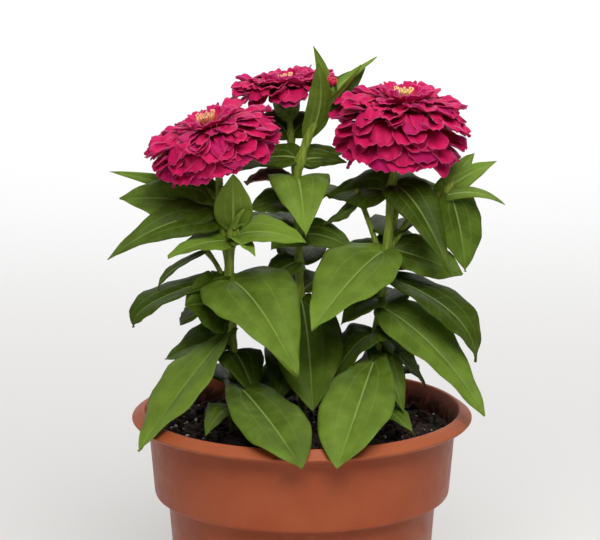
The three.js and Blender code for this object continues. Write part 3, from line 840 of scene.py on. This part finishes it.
# Blooms: the middle of the disc, the way the bloom faces, the number of petals, and how the petals
# run from the disc outwards: rise in degrees, length and width. The core is a dome that they stand on.
BLOOMS = {
    "left": dict(
        disc=[-50.8, -15, 312], facing=[-0.27, -0.12, 0.95], petals=150, warmth=1,
        rise=[3, -24], length=[7, 28], width=[5, 15.5], depth=15, core_swell=6.5,
    ),
    "right": dict(
        disc=[54.8, -4.8, 324], facing=[0.08, -0.08, 0.99], petals=150, warmth=0.1,
        rise=[13, -29], length=[7, 28.2], width=[5, 16.5], depth=25, core_swell=7.5,
    ),
    "back": dict(
        disc=[-10, 36, 326.5], facing=[-0.12, 0.02, 0.99], petals=80, warmth=0.7,
        rise=[22, -6], length=[7, 25], width=[6, 15], depth=8, core_swell=3,
    ),
}


# The core under petal t, which is 0 at the disc and 1 at the outermost petal
def core_height(bloom, t):
    return -2 - (bloom["depth"] - 4) * t**1.6


def core_radius(bloom, t):
    return CORE_RADIUS + bloom["core_swell"] * math.sin(math.pi * min(1, 0.08 + 0.8 * t))


def add_petal(shape, bloom, i, place):
    """One petal: a narrow root, a broad blunt end with small teeth, hollow or rolled a little."""
    t = i / (bloom["petals"] - 1)
    angle = i * GOLDEN_ANGLE + 0.2 * scatter(i, 1)
    young_share = 0.18
    fresh = float(smooth((young_share - t) / young_share))
    rise = math.radians(mix(bloom["rise"], t**1.8) + 24 * fresh + (6 + 8 * fresh) * scatter(i, 2))
    length = mix(bloom["length"], 1 - (1 - t) ** 3.5) * (1 + 0.07 * scatter(i, 3))
    width = mix(bloom["width"], t**0.6) * (1 + 0.22 * scatter(i, 4))
    outward = vector(math.cos(angle), math.sin(angle), 0)
    level = level_across(outward)
    base = outward * (core_radius(bloom, t) - PETAL_ROOT_DEPTH) + UP * core_height(bloom, t)
    tip = base + outward * length * math.cos(rise) + UP * length * math.sin(rise)
    tip = tip + level * 0.08 * length * scatter(i, 5)
    knee = 0.5 * (base + tip) - outward * 0.15 * length * math.sin(rise)
    knee = knee + UP * (0.15 * length * math.cos(rise) + 0.08 * length)
    s, v = shares(*PETAL_GRID)
    teeth = 0.02 * np.cos(3 * np.pi * v + 2.5 * scatter(i, 6)) + 0.015 * scatter(i, 8) * v
    reach = 0.99 - 0.07 * np.abs(v) ** 3 - 0.06 * np.abs(v) ** 9 + teeth
    u = s * reach
    swell = 0.17 + 0.33 * smooth(u / 0.74) - 0.07 * smooth((u - 0.78) / 0.22)
    x = width * swell * v
    centre, side, normal = sheet_frame(level, base, knee, tip, 0.2 * scatter(i, 9), u)
    hollow = mix((0.14, 0.06), t) + 0.06 * scatter(i, 10)
    cup = hollow * width * (np.abs(v) ** 1.6 - 1) * smooth(u / 0.5)
    curl = (0.16 * scatter(i, 11) - 0.02 + 0.2 * fresh) * length * smooth((s - 0.62) / 0.38) ** 2
    frill = 0.045 * width * np.sin(7 * v + 9 * s + 6 * scatter(i, 12)) * smooth((s - 0.4) / 0.6)
    ribs = 0.06 * np.cos(6 * np.pi * v) * smooth(u / 0.3)
    lift = cup + curl + frill + ribs
    top = centre + side * x[..., None] + normal * lift[..., None]
    bottom = top - normal * (0.42 - 0.16 * np.abs(v) - 0.08 * s)[..., None]
    edge = np.minimum(width * swell * (1 - np.abs(v)), length * (1 - s))
    shape.add_sheet(top, bottom, place, two_toned=True, along=u, across=0.5 * v, edge=edge,
                    tone=scatter(i, 13), heart=fresh * max(0.0, scatter(i, 14)))


def make_bloom(name, bloom):
    """The petals round a domed core as one piece, and the florets of the disc as another."""
    place = facing_place(bloom["disc"], bloom["facing"])
    head = Shape("along", "across", "edge", "tone", "under", "heart")
    bottom = -bloom["depth"] - CORE_FOOT
    rings = [[core_radius(bloom, t), core_height(bloom, t)] for t in np.linspace(1, 0.1, 10)]
    profile = [[0, bottom], [core_radius(bloom, 1) - 1, bottom], *rings,
               [CORE_RADIUS - 1.4, CORE_TOP], [0, CORE_TOP]]
    head.add_turned(profile, 48, place, edge=NO_EDGE)
    for i in range(bloom["petals"]):
        add_petal(head, bloom, i, place)
    head.make(f"{name}_petals", PETAL, "petal", f"{name}_bloom_petals", weld=True)
    disc = Shape("along", "closed", "warmth")
    add_disc(disc, place, bloom["warmth"])
    disc.make(f"{name}_florets", FLORET, "disc_floret", f"{name}_bloom_disc", weld=True)


def add_disc(shape, place, warmth):
    """A low dome set with small five-lobed florets; the innermost are still closed."""
    foot = CORE_TOP + GAP
    profile = [[0, foot], [3.4, foot], [3.6, 0.6], [3.1, 1.5], [2.2, 2], [0, 2.6]]
    shape.add_turned(profile, 24, place, closed=0.8, warmth=warmth)
    florets = 60
    for i in range(florets):
        share = (i + 0.5) / florets
        reach = DISC_RADIUS * math.sqrt(share)
        add_floret(shape, place, i, reach, share, warmth)


def add_floret(shape, place, i, reach, share, warmth):
    """A tube that widens into a star of lobes, leaning outwards."""
    opened = float(smooth((share - 0.3) / 0.3))
    tall = 4 + opened + 1.2 * scatter(i, 21)
    lobes = 5
    angle = np.linspace(0, math.tau, 2 * lobes, endpoint=False)
    star = np.where(np.arange(2 * lobes) % 2 == 0, 0.62, 0.32) * mix((0.4, 0.9), opened)
    rings = [(0.24, 0), (0.24, 0.5), (0.32, 0.82), (star, 1), (0.3 * star, 0.93), (0, 0.9)]
    points = []
    for radius, level in rings:
        height = np.full(angle.shape, level * tall)
        points.append(np.stack([radius * np.cos(angle), radius * np.sin(angle), height], -1))
    level = np.repeat([0, 0.5, 0.82, 1, 0.9, 0.8], 2 * lobes)
    faces = list(grid_faces(len(rings), 2 * lobes, closed=True))
    faces.append(list(range(2 * lobes))[::-1])
    lean = 0.1 * reach + 0.2 * scatter(i, 22)
    tilt = np.array(Matrix.Rotation(lean, 3, "Y"))
    spin = np.array(Matrix.Rotation(i * GOLDEN_ANGLE, 3, "Z"))
    points = put(points, (tilt, vector(reach, 0, 0.4 - 0.04 * reach**2)))
    shape.add(put(points @ spin.T, place), faces, along=level, closed=1 - opened, warmth=warmth)


# The green cup under a bloom, covered in overlapping scales
def add_cup(shape, bloom):
    top = -bloom["depth"] - CORE_FOOT - GAP
    place = facing_place(bloom["disc"], bloom["facing"])
    profile = rounded([
        [0, top - CUP_HEIGHT], [2, top - CUP_HEIGHT], [6.5, top - 0.6 * CUP_HEIGHT],
        [CUP_RADIUS, top - 0.2 * CUP_HEIGHT], [CUP_RADIUS - 0.6, top], [0, top],
    ], 2)
    shape.add_turned(profile, 32, place, edge=NO_EDGE)
    scales_round = 9
    rings = 4
    for ring in range(rings):
        for k in range(scales_round):
            angle = (k + 0.5 * ring) * math.tau / scales_round
            low = top - CUP_HEIGHT * (0.9 - 0.22 * ring)
            reach = np.interp(low, [top - CUP_HEIGHT, top - 0.6 * CUP_HEIGHT, top], [2.2, 6.4, 7.3])
            add_scale(shape, place, angle, reach, low)


def add_bent_sheet(shape, place, around, out, height, thick, **values):
    """A sheet bent round the axis of a place, from its angles, distances and heights."""
    layers = [np.stack(np.broadcast_arrays(reach * np.cos(around), reach * np.sin(around), height), -1)
              for reach in (out, out - thick)]
    shape.add_sheet(*layers, place, **values)


def add_scale(shape, place, angle, reach, low, width=5.6, length=5.4, lean=0.25):
    """One rounded bract lying against the cup."""
    s, v = shares(8, 7)
    half = 0.5 * width * np.sqrt(np.clip(1 - (np.maximum(s - 0.35, 0) / 0.68) ** 2, 0.02, 1))
    around = half * v / max(reach, 3)
    out = reach + 0.35 + lean * length * s * (1 - 0.5 * s) - 0.25 * np.abs(v)
    height = low + length * s * (1 - 0.06 * np.abs(v))
    edge = np.minimum(half * (1 - np.abs(v)), length * (1 - s))
    add_bent_sheet(shape, place, angle + around, out, height, 0.45, edge=edge)


# The bud: a scaly green cup on the middle plant, and crimson petal tips just showing above it
BUD = dict(foot=[14.7, 8, 323], facing=[0.15, -0.05, 0.98], radius=4.2, height=6)


def add_bud_cup(shape):
    place = facing_place(BUD["foot"], BUD["facing"])
    profile = rounded([
        [0, -3], [1.8, -3], [BUD["radius"], 1.5], [BUD["radius"] - 0.3, 0.6 * BUD["height"]],
        [2.6, BUD["height"] - GAP], [0, BUD["height"] - GAP],
    ], 1.5)
    shape.add_turned(profile, 28, place, edge=NO_EDGE)
    scales_round = 6
    for ring, (reach, lean) in enumerate([(2.6, 0.2), (3.9, 0.0), (3.8, -0.2)]):
        for k in range(scales_round):
            angle = (k + 0.5 * ring) * math.tau / scales_round
            low = -2 + 2.1 * ring
            add_scale(shape, place, angle, reach, low, width=4.4, length=4.4, lean=lean)


def make_bud_petals():
    """Petals in two rings round a small pointed heart."""
    place = facing_place(BUD["foot"], BUD["facing"])
    heart = Shape("along", "across", "edge", "tone", "under", "heart")
    top = BUD["height"]
    profile = [[0, top], [2.4, top], [2.6, top + 2], [1.6, top + 3.6], [0, top + 4.5]]
    heart.add_turned(profile, 20, place, edge=NO_EDGE, along=0.3)
    petals = 14
    for k in range(petals):
        ring = k % 2
        angle = k * math.tau / petals
        length = 4.6 + 1.1 * ring + 0.5 * scatter(k, 4)
        add_bud_petal(heart, place, angle, 2.4 - 0.7 * ring, top - 0.2, length)
    heart.make("bud_tips", BUD_PETAL, "bud_petal", "bud_petals", weld=True)


def add_bud_petal(shape, place, angle, reach, low, length):
    """One narrow petal, upright and bowed, folded round the heart of the bud."""
    s, v = shares(8, 5)
    half = 1.15 * np.sqrt(np.clip(1 - (np.maximum(s - 0.45, 0) / 0.6) ** 2, 0.02, 1))
    around = half * v / max(reach, 1.5)
    out = reach + 0.8 * np.sin(np.pi * s) + 0.3 * s**3 + 0.2 * v**2
    height = low + length * s * (1 - 0.12 * s)
    edge = np.minimum(half * (1 - np.abs(v)), length * (1 - s))
    add_bent_sheet(shape, place, angle + around, out, height, 0.3,
                   along=s, across=0.5 * v, edge=edge, tone=0.2)


# A withered leaf hanging beside the middle stem
def make_withered_leaf():
    base = vector(-5.5, 14, 276)
    knee = vector(-19, 18, 280)
    tip = vector(-31, 19, 272)
    length = 26
    u, v = shares(26, 13)
    centre, along = bezier(base, knee, tip, u[:, 0])
    side = unit(vector(0.1, 0.8, 0.6))
    normal = unit(np.cross(side, along))
    half = (0.8 + 4.2 * np.sin(np.pi * u**0.8)) * (1 - 0.97 * smooth((u - 0.85) / 0.15))
    crinkle = 0.45 * np.sin(17 * u + 3 * v) * np.cos(5 * v + 11 * u) + 0.3 * np.sin(31 * u * v)
    lift = 2.4 * v**2 + crinkle * smooth(u / 0.15)
    top = centre[:, None] + side * (half * v)[..., None] + normal[:, None] * lift[..., None]
    bottom = top - 0.4 * normal[:, None]
    shape = Shape("edge")
    shape.add_sheet(top, bottom, edge=np.minimum(half * (1 - np.abs(v)), length * (1 - u)))
    shape.make("dry_leaf", DRY_LEAF, "dry_leaf", "withered_leaf")


def add_hairs(shape, name, per_mm, seed):
    """Short stiff hairs standing out of a stem, each a thin spike with its root inside."""
    draw = np.random.default_rng(seed)
    line = STEM_LINES[name]
    radius = STEMS[name][0]
    length = np.linalg.norm(np.diff(line, axis=0), axis=1).sum()
    for _ in range(int(length * per_mm)):
        k = draw.integers(1, len(line) - 1)
        along = unit(line[k + 1] - line[k - 1])
        out = draw.normal(size=3)
        out = unit(out - along * (out @ along))
        around = np.cross(along, out)
        foot = line[k] + out * (radius - 0.25)
        if foot[2] < SOIL_HEIGHT + 2:
            continue
        tip = foot + out * draw.uniform(0.9, 1.6) + along * draw.uniform(-0.2, 0.5)
        back = foot - 0.035 * around
        corners = [foot + 0.07 * around, back + 0.06 * along, back - 0.06 * along, tip]
        shape.add(corners, [[0, 1, 3], [1, 2, 3], [2, 0, 3], [0, 2, 1]])


def add_sprout(shape, foot, count, seed):
    """A tuft of very small new leaves."""
    draw = np.random.default_rng(seed)
    for k in range(count):
        angle = k * GOLDEN_ANGLE
        outward = vector(math.cos(angle), math.sin(angle), 0)
        reach = draw.uniform(4.5, 9)
        rise = draw.uniform(0.4, 1.1)
        tip = foot + outward * reach * math.cos(rise) + UP * reach * math.sin(rise)
        knee = foot + 0.5 * (tip - foot) + UP * 0.1 * reach
        add_blade(shape, foot, knee, tip, draw.uniform(2.6, 4.2), 0, 0.4, 1)


def make_plant(name, leaves, bloom):
    """One plant in three pieces: its leaves, its stems with their hairs, and its green cups."""
    leaves = [[f"{name}_{stem}", *numbers] for stem, *numbers in leaves]
    blades = Shape("middle", "vein", "rib", "tone", "vigour", "under")
    for leaf in leaves:
        add_leaf(blades, leaf)
    if name == "left":
        add_sprout(blades, vector(-37, -14, 252), count=9, seed=5)
    tubes = Shape()
    for stem in STEMS:
        if stem.startswith(name):
            add_stem(tubes, stem, [leaf[1] for leaf in leaves if leaf[0] == stem])
            add_hairs(tubes, stem, per_mm=4, seed=40 + len(stem))
    scales = Shape("edge")
    add_cup(scales, bloom)
    if name == "middle":
        add_bud_cup(scales)
    node = f"{name}_plant"
    blades.make(f"{name}_leaves", LEAF, "zinnia_leaf", node)
    tubes.make(f"{name}_stems", STEM, "zinnia_leaf", node)
    scales.make(f"{name}_bracts", BRACT, "zinnia_leaf", node, weld=True)


make_pot()
make_soil()
make_plant("left", LEFT_LEAVES, BLOOMS["left"])
make_plant("middle", MIDDLE_LEAVES, BLOOMS["back"])
make_plant("right", RIGHT_LEAVES, BLOOMS["right"])
for bloom_name, bloom_facts in BLOOMS.items():
    make_bloom(bloom_name, bloom_facts)
make_bud_petals()
make_withered_leaf()


# Camera: the photograph's viewpoint, found from the ellipse of the pot's rim, in pixels
def make_camera():
    distance = 1400
    elevation = math.radians(14.8)
    rim_middle = 147
    picture_width = 600
    middle_row = 270
    rim_row = 411.5
    rim_column_offset = 2
    rim_span = 340
    focal = rim_span * distance / (2 * RIM_RADIUS)
    pitch = elevation - math.atan((rim_row - middle_row) / focal)
    camera = add_object("camera", bpy.data.cameras.new("camera"))
    camera.data.lens = camera.data.sensor_width * focal / picture_width
    camera.data.clip_start = 0.05
    camera.data.clip_end = 50
    height = rim_middle + distance * math.sin(elevation)
    camera.location = Vector((0, -distance * math.cos(elevation), height)) * MM
    camera.rotation_euler = (math.pi / 2 - pitch, 0, math.atan(rim_column_offset / focal))
    SCENE.camera = camera


def make_stage():
    mesh = bpy.data.meshes.new("studio_floor")
    reach = 9
    corners = [(-reach, -reach, 0), (reach, -reach, 0), (reach, reach, 0), (-reach, reach, 0)]
    mesh.from_pydata(corners, [], [(0, 1, 2, 3)])
    mesh.materials.append(floor_paint())
    floor = add_object("studio_floor", mesh)


def add_light(name, place, size, power, aim=(0, 0, 0.2)):
    """A soft rectangular light, in metres and watts."""
    light = bpy.data.lights.new(name, "AREA")
    light.shape = "RECTANGLE"
    light.size, light.size_y = size
    light.energy = power
    lamp = add_object(name, light)
    lamp.location = place
    line = Vector(aim) - Vector(place)
    lamp.rotation_euler = line.to_track_quat("-Z", "Y").to_euler()


def make_light():
    """A pale surround, brighter behind the plant, and three soft lights."""
    world = bpy.data.worlds.new("studio")
    world.use_nodes = True
    nodes = world.node_tree.nodes
    links = world.node_tree.links
    background = nodes["Background"]
    background.inputs["Color"].default_value = (1, 1, 1, 1)
    direction = nodes.new("ShaderNodeSeparateXYZ")
    links.new(nodes.new("ShaderNodeTexCoord").outputs["Generated"], direction.inputs[0])
    strength = nodes.new("ShaderNodeMapRange")
    strength.interpolation_type = "SMOOTHSTEP"
    links.new(direction.outputs["Y"], strength.inputs["Value"])
    for socket, value in zip(strength.inputs[1:], (-0.9, 0.3, 0.12, 0.4)):
        socket.default_value = value
    links.new(strength.outputs["Result"], background.inputs["Strength"])
    SCENE.world = world
    SCENE.view_settings.view_transform = "Standard"
    add_light("front", (0.15, -1.05, 1.3), (0.9, 0.7), 25)
    add_light("overhead", (0.1, 0.1, 1.5), (0.9, 0.7), 7)
    add_light("sweep", (0, 3.2, 2.4), (4, 2.4), 85, aim=(0, 3.2, 0))


make_camera()
make_stage()
make_light()
